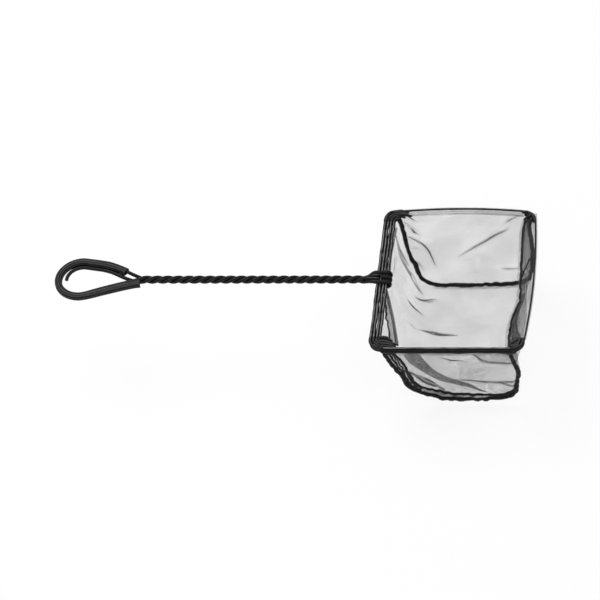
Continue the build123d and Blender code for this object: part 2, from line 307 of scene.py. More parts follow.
def tube(name, line, radius, sides):
    """A soft tube along a line in millimetres: a grid rolled up, its edges merged and its ends filled.
    radius gives the radius for arrays of the run along the line and the turn round it."""
    line = np.asarray(line, float)
    first, second = side_frames(line)
    turn = np.linspace(0, 2 * math.pi, sides + 1)
    turn[-1] = 0
    runs, turns = np.meshgrid(run_along(line), turn, indexing="ij")
    size = radius(runs, turns)
    out = np.cos(turns)[..., None] * first[:, None] + np.sin(turns)[..., None] * second[:, None]
    places = in_metres(line[:, None] + out * size[..., None])
    around = np.linspace(0, 2 * math.pi * size.mean(), sides + 1)
    flat = np.stack([np.broadcast_to(around, runs.shape), runs], axis=-1)
    piece = grid_piece(name, places, flat)
    # crest is highest on the side the tube's first direction points to, upward on level runs; the rolled
    # cloths paint a highlight there
    add_mask(piece, "crest", np.cos(turns))
    close_seam(piece, True)
    return smooth(piece)


def wander(line, amount, reach, seed):
    """The line with a slow random waver, for hand-sewn runs."""
    line = np.asarray(line, float)
    waver = [[noise.noise(Vector(p) / reach + Vector((seed, 9.1 * k, 3.7))) for k in range(3)] for p in line]
    fade = np.sin(np.linspace(0, math.pi, len(line)))[:, None] ** 0.3
    return line + amount * fade * np.array(waver)


def rope(name, line, radius, pitch, seed):
    """An overlocked seam: a rope with the thread's slanting lumps."""
    count = int(line_length(line) / ROPE_STEP)
    line = wander(evened(line, count), ROPE_WAVER, ROPE_WAVER_REACH, seed)

    def lumpy(run, turn):
        slant = np.abs(np.sin(math.pi * (run / pitch + turn / (2 * math.pi))))
        slow = np.sin(run / 3.3 + seed) * np.sin(run / 1.9 + 2 * seed) + 0.6 * np.sin(run / 7.7 + seed)
        taper = np.clip(np.minimum(run, run.max() - run) / 1.5, 0.3, 1)
        return radius * taper * (1 - ROPE_LUMPS / 2 + ROPE_LUMPS * slant + ROPE_SWELL * slow)

    return tube(name, line, lumpy, sides=10)


def roll(name, line, radius, seed, taper_in=0.0, taper_out=0.0):
    """A tight roll of net: a tube with shallow folds along it, drawn thin at the ends that taper."""
    def folded(run, turn):
        spiral = 0.05 * np.sin(5 * turn + 0.35 * np.sin(run / 9 + seed) + seed)
        slow = 0.04 * np.sin(run / 6.3 + seed) + 0.03 * np.sin(run / 2.1 + 3 * seed + 2 * turn)
        begin = np.clip(run / taper_in, 0.25, 1) if taper_in else 1
        finish = np.clip((run.max() - run) / taper_out, 0.25, 1) if taper_out else 1
        return radius * (1 + spiral + slow) * np.sqrt(begin * finish)

    return tube(name, line, folded, sides=20)


# Shader groups and materials

def new_group(name, inputs, outputs):
    """An empty shader group with its sockets."""
    group = bpy.data.node_groups.new(name, "ShaderNodeTree")
    for title, kind, value in inputs:
        socket = group.interface.new_socket(title, in_out="INPUT", socket_type=kind)
        if value is not None:
            socket.default_value = value
    for title, kind in outputs:
        group.interface.new_socket(title, in_out="OUTPUT", socket_type=kind)
    return group, group.nodes.new("NodeGroupInput"), group.nodes.new("NodeGroupOutput")


def math_node(tree, operation, *values):
    """A Math node with numbers or sockets on its inputs."""
    node = tree.nodes.new("ShaderNodeMath")
    node.operation = operation
    for socket, value in zip(node.inputs, values):
        if isinstance(value, (int, float)):
            socket.default_value = value
        else:
            tree.links.new(value, socket)
    return node.outputs[0]


def remap(tree, value, low, high, to_low, to_high):
    """A smooth Map Range."""
    node = tree.nodes.new("ShaderNodeMapRange")
    node.interpolation_type = "SMOOTHSTEP"
    for socket, number in zip(node.inputs[1:5], (low, high, to_low, to_high)):
        socket.default_value = number
    tree.links.new(value, node.inputs[0])
    return node.outputs[0]


def noise_node(tree, vector, scale, detail=3.0):
    """A Noise texture's value."""
    node = tree.nodes.new("ShaderNodeTexNoise")
    node.inputs["Scale"].default_value = scale
    node.inputs["Detail"].default_value = detail
    tree.links.new(vector, node.inputs["Vector"])
    return node.outputs[0]


def blend_colours(tree, mask, first, second):
    """Two colours mixed by a mask."""
    node = tree.nodes.new("ShaderNodeMix")
    node.data_type = "RGBA"
    tree.links.new(mask, node.inputs["Factor"])
    for title, value in (("A", first), ("B", second)):
        socket = [s for s in node.inputs if s.name == title and s.type == "RGBA"][0]
        if isinstance(value, tuple):
            socket.default_value = (*value, 1)
        else:
            tree.links.new(value, socket)
    return [s for s in node.outputs if s.type == "RGBA"][0]


def net_threads_group():
    """Fine diamond net: a mask of its threads on the flat cloth, thicker where it is gathered."""
    inputs = [("UV", "NodeSocketVector", None), ("Pitch", "NodeSocketFloat", NET_PITCH),
              ("Thread", "NodeSocketFloat", NET_THREAD), ("Gather", "NodeSocketFloat", 0.0)]
    group, given, result = new_group("net threads", inputs, [("Threads", "NodeSocketFloat")])
    parts = group.nodes.new("ShaderNodeSeparateXYZ")
    group.links.new(given.outputs["UV"], parts.inputs[0])
    across = math_node(group, "MULTIPLY", parts.outputs[0], UV_SPAN)
    along = math_node(group, "MULTIPLY", parts.outputs[1], UV_SPAN)
    reach = math_node(group, "MULTIPLY", given.outputs["Pitch"], math.sqrt(2))
    widen = math_node(group, "MULTIPLY_ADD", given.outputs["Gather"], given.outputs["Thread"],
                      given.outputs["Thread"])
    half = math_node(group, "DIVIDE", math_node(group, "MULTIPLY", widen, 0.5), given.outputs["Pitch"])
    families = []
    for operation in ("ADD", "SUBTRACT"):
        slanted = math_node(group, "DIVIDE", math_node(group, operation, across, along), reach)
        apart = math_node(group, "PINGPONG", slanted, 0.5)
        families.append(math_node(group, "LESS_THAN", apart, half))
    either = math_node(group, "MAXIMUM", *families)
    group.links.new(either, result.inputs[0])
    return group


def scuff_group():
    """Slow tone changes and fine scuffs of black plastic, on object coordinates."""
    inputs = [("Vector", "NodeSocketVector", None), ("Scale", "NodeSocketFloat", 400.0)]
    outputs = [("Tone", "NodeSocketFloat"), ("Scuffs", "NodeSocketFloat"), ("Grain", "NodeSocketFloat")]
    group, given, result = new_group("plastic scuffs", inputs, outputs)
    scaled = group.nodes.new("ShaderNodeVectorMath")
    scaled.operation = "SCALE"
    group.links.new(given.outputs["Vector"], scaled.inputs[0])
    group.links.new(given.outputs["Scale"], scaled.inputs["Scale"])
    tone = noise_node(group, scaled.outputs[0], scale=0.35, detail=4.0)
    scuffs = noise_node(group, scaled.outputs[0], scale=2.2, detail=6.0)
    grain = noise_node(group, scaled.outputs[0], scale=9.0, detail=2.0)
    group.links.new(tone, result.inputs["Tone"])
    group.links.new(remap(group, scuffs, 0.55, 0.72, 0.0, 1.0), result.inputs["Scuffs"])
    group.links.new(grain, result.inputs["Grain"])
    return group


def new_material(name):
    """A new material, its node tree and its Principled shader."""
    material = bpy.data.materials.new(name)
    material.use_nodes = True
    return material, material.node_tree, material.node_tree.nodes["Principled BSDF"]


def add_bump(tree, shader, height, strength, depth):
    """A Bump node on a shader's Normal, its depth in millimetres."""
    bump = tree.nodes.new("ShaderNodeBump")
    bump.inputs["Strength"].default_value = strength
    bump.inputs["Distance"].default_value = depth * MM
    tree.links.new(height, bump.inputs["Height"])
    tree.links.new(bump.outputs[0], shader.inputs["Normal"])


def use_group(tree, group, **links):
    """A group placed in a material."""
    node = tree.nodes.new("ShaderNodeGroup")
    node.node_tree = group
    for title, value in links.items():
        if isinstance(value, (int, float)):
            node.inputs[title].default_value = value
        else:
            tree.links.new(value, node.inputs[title])
    return node


def grey(value):
    """A neutral colour."""
    return (value, value, value)


def painted_highlight_crest(tree, tone, low, high, least):
    """Painted highlight: a broken mask along the high lines that a piece keeps as its crest, never weaker
    there than least.
    """
    crest = tree.nodes.new("ShaderNodeAttribute")
    crest.attribute_name = "crest"
    height = remap(tree, crest.outputs["Fac"], low, high, 0.0, 1.0)
    return math_node(tree, "MULTIPLY", height, remap(tree, tone, 0.32, 0.6, least, 1.0))


def black_plastic(name, dark, pale, rough, grain_depth, scale):
    """Black vinyl or lacquer with faint scuffs, a fine skin and painted highlight lines along the ridges
    where a piece has them.
    """
    material, tree, shader = new_material(name)
    place = tree.nodes.new("ShaderNodeTexCoord").outputs["Object"]
    marks = use_group(tree, scuffs_on_plastic, Vector=place, Scale=scale)
    colour = blend_colours(tree, marks.outputs["Tone"], dark, pale)
    worn = blend_colours(tree, marks.outputs["Scuffs"], colour, tuple(1.6 * c for c in pale))
    # Painted highlight lines along the crest of the ridges, broken by the tone noise
    painted_highlight = painted_highlight_crest(tree, marks.outputs["Tone"], low=0.9, high=0.99, least=0.1)
    tree.links.new(blend_colours(tree, painted_highlight, worn, PAINTED_HIGHLIGHT_VINYL), shader.inputs["Base Color"])
    tree.links.new(remap(tree, marks.outputs["Tone"], 0.3, 0.7, *rough), shader.inputs["Roughness"])
    add_bump(tree, shader, marks.outputs["Grain"], strength=0.35, depth=grain_depth)
    shader.inputs["Specular IOR Level"].default_value = 0.16
    return material


def net_cloth(name):
    """See-through net: threads of black nylon with open holes between them, here and there drawn closer."""
    material, tree, shader = new_material(name)
    chart = tree.nodes.new("ShaderNodeUVMap").outputs[0]
    gather = tree.nodes.new("ShaderNodeAttribute")
    gather.attribute_name = "gather"
    place = tree.nodes.new("ShaderNodeTexCoord").outputs["Object"]
    waves = remap(tree, noise_node(tree, place, scale=38.0, detail=2.0), 0.3, 0.7, -0.2, 0.2)
    bunched = math_node(tree, "ADD", gather.outputs["Fac"], waves)
    threads = use_group(tree, net_threads, UV=chart, Gather=bunched)
    back = tree.nodes.new("ShaderNodeNewGeometry").outputs["Backfacing"]
    solid = math_node(tree, "MULTIPLY", threads.outputs[0], math_node(tree, "SUBTRACT", 1.0, back))
    tree.links.new(solid, shader.inputs["Alpha"])
    tone = noise_node(tree, place, scale=60.0)
    nylon = blend_colours(tree, tone, grey(0.010), (0.030, 0.030, 0.031))
    tree.links.new(nylon, shader.inputs["Base Color"])
    tree.links.new(remap(tree, tone, 0.3, 0.7, 0.4, 0.6), shader.inputs["Roughness"])
    return material


def rolled_cloth(name, dark, pale, thread):
    """Net rolled so tight that no light passes, its threads still standing out, with a painted highlight in
    the pale colour along its crest.
    """
    material, tree, shader = new_material(name)
    chart = tree.nodes.new("ShaderNodeUVMap").outputs[0]
    threads = use_group(tree, net_threads, UV=chart, Pitch=ROLLED_PITCH, Thread=thread)
    place = tree.nodes.new("ShaderNodeTexCoord").outputs["Object"]
    tone = noise_node(tree, place, scale=140.0, detail=4.0)
    under = blend_colours(tree, tone, tuple(0.4 * c for c in dark), dark)
    # Painted highlight along each roll's crest, broken by the tone noise
    painted_highlight = painted_highlight_crest(tree, tone, low=0.88, high=0.985, least=0.35)
    woven = blend_colours(tree, threads.outputs[0], under, dark)
    tree.links.new(blend_colours(tree, painted_highlight, woven, pale), shader.inputs["Base Color"])
    tree.links.new(remap(tree, tone, 0.3, 0.7, 0.26, 0.42), shader.inputs["Roughness"])
    add_bump(tree, shader, threads.outputs[0], strength=0.5, depth=0.1)
    shader.inputs["Specular IOR Level"].default_value = 0.12
    return material


# Colour of the painted highlight lines on plastic ridges
PAINTED_HIGHLIGHT_VINYL = (0.13, 0.13, 0.132)
net_threads = net_threads_group()
scuffs_on_plastic = scuff_group()
# Plastics: dark and pale tone, range of roughness, depth of the grain and scale of the marks
wire_coat = black_plastic("wire coat", grey(0.004), grey(0.018), (0.34, 0.5), 0.05, 300.0)
rim_lacquer = black_plastic("rim lacquer", grey(0.005), grey(0.010), (0.25, 0.4), 0.02, 500.0)
sleeve_vinyl = black_plastic("sleeve vinyl", grey(0.003), grey(0.008), (0.24, 0.4), 0.05, 250.0)
# Cloths: dark tone, painted highlight tone along the crest, and width of the thread
bag_net = net_cloth("bag net")
hem_roll = rolled_cloth("rolled hem net", grey(0.006), (0.24, 0.24, 0.245), thread=0.22)
gathered_net = rolled_cloth("gathered net", grey(0.015), (0.07, 0.07, 0.071), thread=0.22)
seam_thread = rolled_cloth("seam thread", grey(0.012), grey(0.06), thread=0.3)


def dress(piece, material, slot, *nodes):
    """Gives a finished piece its material, puts it under the root body and hides the nodes that it stands
    for; slot is not used.
    """
    piece.data.materials.clear()
    piece.data.materials.append(material)
    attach(piece, "root")
    if nodes:
        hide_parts(*nodes)
    return piece


# Seam lines of the bag, as (along, height) from the middle of the rim; the panels lean inwards below it

far_seam_points = [
    (-53.5, -6), (-52, -12.5), (-50.5, -24), (-50, -32.5), (-49, -42), (-47, -50.5), (-44, -58.5),
    (-42.5, -66), (-40.5, -72.5), (-37, -76.5), (-32.5, -79.5), (-25.5, -81), (-9, -81.5), (25, -80.5),
    (37.5, -79.5), (46.5, -77.5), (52, -73.5), (55.5, -65), (57, -51.5), (58, -40.5), (57.5, -29.5),
    (56.5, -8),
]
near_inner_points = [
    (-43, -10), (-38.5, -22), (-35.5, -35), (-33, -48), (-27.5, -57.5), (-20, -62), (-13.5, -64.5),
    (-3, -68.5), (11, -69.5), (30.5, -69.8), (40, -69.8), (46, -67.5), (50.3, -62.5), (52, -56),
    (53.3, -50), (54.5, -44), (55.6, -38), (55.4, -30.5), (53.4, -20), (51.5, -8),
]
near_outer_points = [
    (-52, -6), (-49.5, -17), (-46, -28), (-41.5, -39.5), (-38.5, -52.5), (-35, -60), (-27.5, -66),
    (-15.5, -71), (-9, -74.5), (3, -75.5), (17, -76.5), (30, -74.5), (41, -72.8), (46.8, -70.6),
    (51.4, -64.5), (53, -58), (54, -52), (55.2, -46), (56.6, -39), (56.4, -31), (54.3, -20), (52.5, -7),
]


def seam_places(points, side, count, out=0.0):
    """A seam in space, on the leaning plane of a side panel."""
    line = smooth_line(points, count)
    across = side * (RIM_HALF_ACROSS + PANEL_LEAN * line[:, 1] + out)
    return np.stack([line[:, 0], across, line[:, 1]], axis=1)


def cut_at(line, corner):
    """Index of the place nearest to a corner given as (along, height)."""
    return int(np.argmin(np.hypot(line[:, 0] - corner[0], line[:, 2] - corner[1])))


def cut_along(line, across):
    """Index of the place nearest to a distance across the bag."""
    return int(np.argmin(np.abs(line[:, 1] - across)))


def patch(top, bottom, left, right):
    """A surface between four border lines. Rows run from top to bottom, columns from left to right."""
    columns = np.linspace(0, 1, len(top))[None, :, None]
    rows = np.linspace(0, 1, len(left))[:, None, None]
    corners = ((1 - columns) * (1 - rows) * top[0] + columns * (1 - rows) * top[-1]
               + (1 - columns) * rows * bottom[0] + columns * rows * bottom[-1])
    ruled = (1 - rows) * top[None] + rows * bottom[None] + (1 - columns) * left[:, None]
    return ruled + columns * right[:, None] - corners


def fold_net(places, flat, axes, folds):
    """Z-folds in a sheet: along each line the net doubles back on itself. A fold is its points on the flat
    cloth, its half widths along them and how sharply it is creased. Returns the moved places and how gathered
    the net is."""
    moved = places.copy()
    gather = np.zeros(places.shape[:2])
    for points, half_widths, crease in folds:
        line = smooth_line(points, FOLD_PLACES)
        share = np.linspace(0, 1, FOLD_PLACES)
        widths = np.interp(share, np.linspace(0, 1, len(half_widths)), half_widths)
        offset = flat[..., None, :] - line
        nearest = np.argmin((offset**2).sum(-1), axis=-1)
        gap = np.take_along_axis(offset, nearest[..., None, None], axis=2)[..., 0, :]
        way = ways_along(line)[nearest]
        aside = np.stack([-way[..., 1], way[..., 0]], axis=-1)
        apart = (gap * aside).sum(-1)
        beyond = (gap * way).sum(-1)
        half = widths[nearest]
        soft = FOLD_EDGE + FOLD_EDGE_SHARE * half
        reach = apart / soft
        fade = np.exp(-((beyond / (FOLD_ENDS * soft)) ** 2)) * half / (half + FADE_WIDTH)
        slide = -FOLD_SLIDE * (half + soft) * reach * np.exp(-0.5 * reach**2) * fade
        height = FOLD_LIFT + FOLD_LIFT_SHARE * half
        lift = height * np.tanh(LIFT_SLOPE * reach) * np.exp(-((reach / LIFT_REACH) ** 2)) * fade
        moved += (aside[..., :1] * axes[0] + aside[..., 1:] * axes[1]) * slide[..., None]
        moved += axes[2] * lift[..., None]
        dark = FOLD_BUNCH + NARROW_BUNCH * np.exp(-half / NARROW_WIDTH)
        bunched = dark * np.exp(-0.5 * (reach / BUNCH_REACH) ** 2)
        gather += crease * bunched * fade * np.minimum(half / FAINT_WIDTH, 1)
    return moved, gather


def ripple(places, flat, normal, amount, size, seed):
    """Slow soft waves of a slack sheet, still along its borders."""
    rows, columns = places.shape[:2]
    border = np.sin(np.linspace(0, math.pi, rows))[:, None] * np.sin(np.linspace(0, math.pi, columns))[None]
    waves = np.empty((rows, columns))
    for row in range(rows):
        for column in range(columns):
            a, b = flat[row, column] / size
            slow = noise.noise(Vector((a, b, seed)))
            waves[row, column] = slow + 0.5 * noise.noise(Vector((2 * a, 2 * b, seed)))
    return places + normal * (amount * waves * np.clip(2.5 * border, 0, 1))[..., None]


def finish_sheet(name, places, flat, gather):
    """A net sheet with its small thickness."""
    piece = grid_piece(name, in_metres(places), flat)
    add_mask(piece, "gather", gather)
    apply_modifier(piece, "SOLIDIFY", thickness=NET_THICKNESS * MM, offset=0.0)
    return smooth(piece)


# Side panels

def make_panel(name, seam, side, top_points, corners, folds, stretch, seed):
    """One side panel: a patch between its hem and the seam, folded where the photograph shows it.
    stretch says how much thinner its threads are drawn."""
    first = cut_at(seam, corners[0])
    last = cut_at(seam, corners[1])
    across, down = PANEL_GRID
    left = evened(seam[: first + 1], down)
    bottom = evened(seam[first: last + 1], across)
    right = evened(seam[last:][::-1], down)
    top = smooth_line([seam[0], *top_points, seam[-1]], across)
    places = patch(top, bottom, left, right)
    flat = places[..., [0, 2]]
    slope = 1 / math.hypot(1, PANEL_LEAN)
    axes = (np.array((1.0, 0, 0)), np.array((0, side * PANEL_LEAN * slope, slope)),
            np.array((0, side * slope, -PANEL_LEAN * slope)))
    places = ripple(places, flat, axes[2], amount=1.6, size=22.0, seed=seed)
    places, gather = fold_net(places, flat, axes, folds)
    return finish_sheet(name, places, flat, gather - stretch)


far_seam = seam_places(far_seam_points, 1, SEAM_PLACES)
near_inner = seam_places(near_inner_points, -1, SEAM_PLACES)
near_outer = seam_places(near_outer_points, -1, SEAM_PLACES, 0.6)

far_folds = [
    ([(-9.5, -53), (16.5, -35), (41, -18.5)], [0, 0.5, 1.0, 1.0, 0], 2.4),
    ([(34, -15.5), (43, -9), (52, -3.5)], [0, 0.9, 0.8, 0], 1.0),
    ([(-49.5, -26), (-35, -38), (-29, -50.5), (-26, -64.5)], [0.4, 1.4, 1.2, 0.7, 0], 1.0),
    ([(-47, -16), (-41.5, -24), (-35.5, -28)], [0, 0.9, 0], 1.0),
    ([(27.5, -62.5), (36.5, -63.5), (48.5, -63.5)], [0, 0.8, 0.6, 0], 1.0),
    ([(-48, -4), (-42.5, -9), (-38, -13)], [0.9, 0.9, 0], 1.0),
    ([(-8, -72), (8, -67), (26, -66)], [0, 0.15, 0], 1.0),
    ([(-49.6, -11.5), (-43, -19), (-34.4, -27)], [0.3, 0.8, 0], 1.0),
    ([(-48, -41.5), (-42, -40.5), (-35.7, -44)], [0, 0.5, 0], 1.0),
    ([(-43, -51.5), (-40.5, -57), (-37, -65)], [0, 0.6, 0.3], 1.0),
    ([(-30, -10), (-14, -16), (2, -18)], [0, 0.06, 0], 1.0),
    ([(0, -28), (16, -24), (34, -12)], [0, 0.08, 0], 1.0),
]
near_folds = [
    ([(-32, -5), (-24.5, -21.5), (-17, -34.5), (-7, -45), (4, -52), (14, -57), (22, -63), (30, -66.5)],
     [5.6, 6.2, 5.0, 3.8, 3.2, 2.8, 1.8, 0], 1.9),
    ([(-33, -36.5), (-24, -46.5), (-13, -58), (-8, -63)], [1.2, 2.4, 2.0, 1.0], 1.0),
    ([(19, -7), (24.5, -12), (29.5, -20), (40.5, -22), (53.5, -22.5)], [0, 1.3, 1.6, 1.3, 1.0], 1.0),
    ([(2, -46), (27.5, -51), (53.5, -50)], [0.2, 1.1, 1.5, 1.4], 1.0),
    ([(33, -52), (44, -55), (52, -57.5)], [0, 1.2, 1.3], 1.0),
    ([(-8, -12), (4, -17), (16, -19)], [0, 0.9, 0], 1.0),
    ([(-30, -40), (-18, -52), (-4, -62)], [0, 0.9, 0.9, 0], 1.0),
]
far_top = [(-52, 75.6, -4.6), (-44, 76.8, -4.5), (-25, 77.8, -4.5), (0, 78.4, -4.5), (28, 77.8, -4.5),
           (46, 76.8, -4.5), (55, 75.4, -4.8)]
near_top = [(-20, -75, -4.6), (0, -75, -4.6), (25, -75, -4.6)]
far_corners = [(-37, -76.5), (51, -75)]
near_corners = [(-32, -49), (49, -60.5)]
far_panel = make_panel("far_net_panel", far_seam, 1, far_top, far_corners, far_folds,
                       stretch=0.0, seed=1.7)
near_panel = make_panel("near_net_panel", near_inner, -1, near_top, near_corners, near_folds,
                        stretch=0.17, seed=5.3)
dress(far_panel, bag_net, "net_mesh", "far_panel")
dress(near_panel, bag_net, "net_mesh", "near_panel")


# Gusset: handle wall, floor and end wall in one strip

wall_edge = [
    (-55.5, -62, -3), (-56.5, -45, -2.2), (-57, -25, -2), (-57, 0, -2), (-57, 30, -2), (-56.5, 55, -2.4),
]
end_foot_points = [
    (50.5, -66, -8.5), (50, -57, -8.5), (50, -48.5, -8.5), (51, -37.5, -8.5), (53.5, -26.5, -8.5),
    (55.7, -15.5, -8.5), (55.5, -4, -8.5), (54.8, 15, -8.5), (54, 40, -8.5), (53.2, 58, -8.5),
    (54, 69, -8), (54.8, 73.5, -6.5),
]
gusset_folds = [
    ([(47.5, 61), (61.5, 64), (75.5, 55)], [0.4, 1.0, 1.0, 0], 1.0),
    ([(66.5, 47), (77.5, 49), (86.5, 53)], [0, 1.0, 0.8, 0], 1.0),
    ([(52, 28.5), (65, 31.5), (75, 27.5)], [0, 0.9, 0.7, 0], 1.0),
    ([(70, 5.5), (79, 6.5), (89, 5.5), (104.5, 5.5)], [0, 1.0, 1.1, 0.8, 0], 1.0),
    ([(8, 59), (21.5, 59), (36, 64), (44.5, 65)], [1.0, 2.6, 2.4, 0.8], 1.0),
    ([(19, 51), (18, 39), (20, 28.5)], [0, 0.8, 0], 1.0),
    ([(41, -5.5), (61, 1.5), (74, -1.5)], [0, 0.5, 0], 1.0),
    ([(30, 40), (46, 46), (58, 44)], [0, 0.4, 0], 1.0),
    ([(118, -20), (140, -16), (164, -22)], [0, 0.35, 0], 1.0),
]


def slack_at(across):
    """How far the gusset sags at a place between the seams."""
    stations = np.linspace(-SLACK_HALF, SLACK_HALF, len(GUSSET_SAGS))
    curve = smooth_line(np.stack([stations, GUSSET_SAGS], axis=1), 200)
    return np.interp(across, curve[:, 0], curve[:, 1], left=0, right=0)


def make_gusset():
    """The strip between the two seams, its ends on the handle band and on the end hem."""
    along, across = GUSSET_GRID
    near = evened(near_outer, along)
    far = evened(far_seam, along)
    handle_edge = smooth_line([near[0], *wall_edge, far[0]], across)
    end_edge = smooth_line([near[-1], *end_foot_points[1:-1], far[-1]], across)
    places = patch(near, far, handle_edge, end_edge)
    run = np.linspace(0, (line_length(near) + line_length(far)) / 2, along)
    spread = np.linspace(-RIM_HALF_ACROSS, RIM_HALF_ACROSS, across)
    flat = np.stack(np.meshgrid(run, spread), axis=-1)
    ways = np.gradient(places, axis=1)
    ways /= np.linalg.norm(ways, axis=-1)[..., None]
    sides = np.gradient(places, axis=0)
    sides -= ways * (sides * ways).sum(-1)[..., None]
    sides /= np.linalg.norm(sides, axis=-1)[..., None]
    normal = np.cross(ways, sides)
    slack = slack_at(places[..., 1]) * np.clip(-places[..., 2] / FOOT_DEPTH, 0, 1)
    outward = np.minimum(-normal, 0) * np.array((1, 0, 1))
    places = places + outward * slack[..., None]
    places = ripple(places, flat, normal, amount=0.9, size=17.0, seed=8.9)
    places, gather = fold_net(places, flat, (ways, sides, normal), gusset_folds)
    return finish_sheet("net_gusset", places, flat, gather)


gusset = make_gusset()
dress(gusset, bag_net, "net_mesh", "gusset")


# Seams: an overlocked rope on the far side, two ropes with a strip of net between them on the near side

far_rope = rope("far_seam_rope", far_seam, radius=1.75, pitch=2.1, seed=0.4)
dress(far_rope, seam_thread, "seam_tape", "far_seam_binding")

near_left = near_outer[: cut_at(near_outer, (-27, -66.3))]
inner_turn = cut_at(near_inner, (-25, -59))
near_beside = evened(near_inner[:inner_turn], len(near_left))
near_ropes = [
    rope("near_outer_rope", near_outer, radius=1.65, pitch=2.0, seed=1.9),
    rope("near_inner_rope", near_inner, radius=1.15, pitch=2.0, seed=3.3),
    rope("near_middle_rope", near_left + 0.4 * (near_beside - near_left), radius=0.85, pitch=1.6, seed=5.2),
    rope("near_middle_line", near_left + 0.7 * (near_beside - near_left), radius=0.6, pitch=1.6, seed=7.4),
]
near_rope = joined("near_seam_ropes", near_ropes)
dress(near_rope, seam_thread, "seam_tape", "near_seam_binding")


def make_strip(name, first, second, layers=1, drop=0.0, gather=0.0):
    """A strip of net between two lines, folded back and forth into some layers, each a drop lower.
    gather says how bunched it is, all over or along the lines."""
    rows = []
    for layer in range(layers):
        share = np.linspace(0, 1, STRIP_COLUMNS)
        share = share if layer % 2 == 0 else 1 - share
        level = np.array((0, 0, -drop * layer))
        rows += [first + (second - first) * t + level for t in share]
    places = np.array(rows)
    run = np.linspace(0, line_length(first), len(first))
    width = np.linalg.norm((second - first).mean(axis=0)) * layers
    flat = np.stack(np.meshgrid(run, np.linspace(0, width, len(rows))), axis=-1)
    return finish_sheet(name, places, flat, np.broadcast_to(gather, places.shape[:2]))


def net_strip(*strip, slot="net_mesh", **folded):
    """A strip that is a piece of its own, in the bag's net."""
    return dress(make_strip(*strip, **folded), bag_net, slot)


# Net between the near ropes, and the pleat that the handle wall makes beside the rolled hem
seam_net = net_strip("near_seam_net", evened(near_left, 120), evened(near_beside, 120), layers=2, drop=0.5)
outer_run = evened(near_outer[len(near_left):], 160)
inner_run = evened(near_inner[inner_turn:], 160)
seam_run = net_strip("near_seam_run", outer_run, inner_run, layers=2, drop=0.5,
                     gather=np.linspace(0.5, 0.0, 160))

pleat_ridge = smooth_line([
    (-53.8, 61.5, -3.6), (-54.8, 45, -3.6), (-55.6, 29.5, -3.4), (-55.3, 18.5, -3.4), (-54.6, 7.5, -3.2),
    (-55, 0.5, -3.2), (-56, -6, -3.2), (-54.5, -12.5, -3.2), (-52.5, -19, -3.4), (-49.5, -30.5, -3.8),
    (-46.5, -41.5, -4), (-44, -53.5, -4), (-41, -67, -4),
], 200)
pleat_left = pleat_ridge - np.array((1.9, 0, 0))
pleat_right = pleat_ridge + np.array((0.7, 0.4, -0.4))
pleat = net_strip("handle_wall_pleat", pleat_left, pleat_right, layers=2, drop=0.5, gather=0.75)

tuck_left = smooth_line([(-57, -10, -3.4), (-54.5, -30, -4.5), (-50, -52, -4.8), (-46.5, -68.5, -4.8)], 90)
tuck_right = evened(pleat_ridge[cut_along(pleat_ridge, -10):], 90)
tuck = net_strip("handle_wall_tuck", tuck_left, tuck_right, layers=2, drop=0.5, gather=0.1)
tuck_edge = rope("handle_wall_tuck_edge", tuck_left, radius=0.75, pitch=1.6, seed=6.6)
dress(tuck_edge, gathered_net, "net_mesh")

wall_fold_line = smooth_line([(-54.6, 60.5, -4.3), (-54, 56.2, -9.5), (-52.8, 54, -22), (-50.9, 56.5, -37.8),
                              (-48, 55.5, -49.3), (-45.6, 54.6, -57.2)], 80)
wall_fold_widths = 1.0 + 5.0 * np.sin(np.linspace(0.15, 2.9, 80))
wall_fold_edge = wall_fold_line - wall_fold_widths[:, None] * np.array((0, 1.0, 0))
wall_fold = net_strip("handle_wall_fold", wall_fold_line, wall_fold_edge, layers=2, drop=0.4, gather=0.1)

# Sharp creases where the handle wall meets the floor, each with its widest fold across it
crease_lines = [
    ([(-43, 41, -69), (-39, 41, -72.7), (-34.7, 42.6, -75.6), (-26, 46.7, -78.3)], (0, 1.6, 0)),
    ([(-36, 2, -66.4), (-29, 3, -71), (-19.4, 1.8, -73.3), (-3.6, 2.5, -75)], (0, 1.8, 0)),
    ([(-47, 26, -54.3), (-43, 28, -67), (-39, 26.3, -70.8), (-35, 24, -73.3)], (0, 1.5, 0)),
    ([(-48.6, 53.5, -49.5), (-45, 53.6, -63.5), (-42, 52.6, -71.2), (-37, 47.3, -75)], (0, 1.8, 0)),
    ([(-54.2, 38.6, -14.6), (-54.2, 31.7, -16.7), (-54.1, 23, -17)], (0, 0, 1.6)),
]
creases = []
for number, (points, widest) in enumerate(crease_lines):
    line = smooth_line(points, 60)
    half_fold = np.sin(np.linspace(0.1, math.pi - 0.1, 60))[:, None] * np.array(widest) / 2
    sides = (line - half_fold, line + half_fold)
    creases.append(make_strip(f"gusset_crease_{number}", *sides, layers=2, drop=0.3, gather=0.5))
gusset_creases = joined("gusset_creases", creases)
dress(gusset_creases, bag_net, "net_mesh")

far_floor = far_seam[cut_at(far_seam, (-30, -80)): cut_at(far_seam, (50, -75.5))]
far_floor = evened(far_floor, 120) + np.array((0, 0, 0.8))
far_inside = far_floor + np.array((0, -5.6, 0))
far_allowance = net_strip("far_seam_allowance", far_floor, far_inside)


# Flat hems: net folded over the rim wire

def wire_bow(half_span, bow, offset):
    """How far a bowed side of the rim stands out, at an offset from its middle."""
    radius = (half_span**2 + bow**2) / (2 * bow)
    return math.sqrt(radius**2 - offset**2) - (radius - bow)


